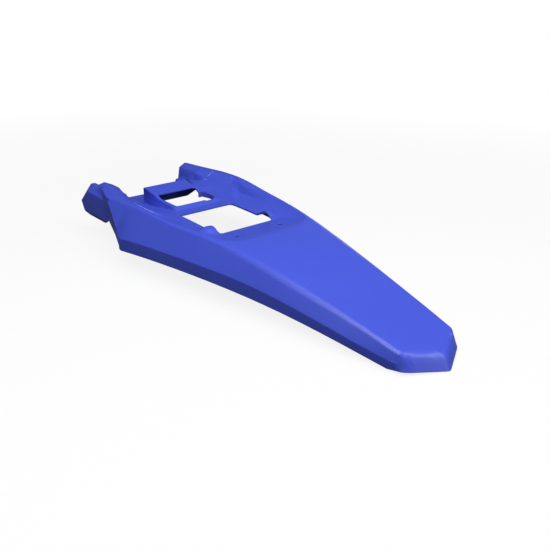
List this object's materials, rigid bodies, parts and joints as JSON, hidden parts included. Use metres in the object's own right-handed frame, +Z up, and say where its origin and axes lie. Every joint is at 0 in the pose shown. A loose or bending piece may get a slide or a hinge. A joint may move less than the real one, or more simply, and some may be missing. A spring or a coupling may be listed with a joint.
{
  "type": "motorcycle rear fender",
  "caption": "Moulded tail fender sheet with raised ridges, side panels, seat recess with cut-outs, screw holes and a front side arm.",
  "frame": {"origin": "midway between the two screw holes, on the top of the seat plate", "axes": "+X back to the tail, +Y to the bike's right, +Z up"},
  "size_m": [0.643, 0.268, 0.0879],
  "materials": {
    "fender_plastic": "moulded in colour, satin gloss"
  },
  "bodies": {
    "root": {"rear_fender": "fender_plastic"}
  },
  "joints": []
}
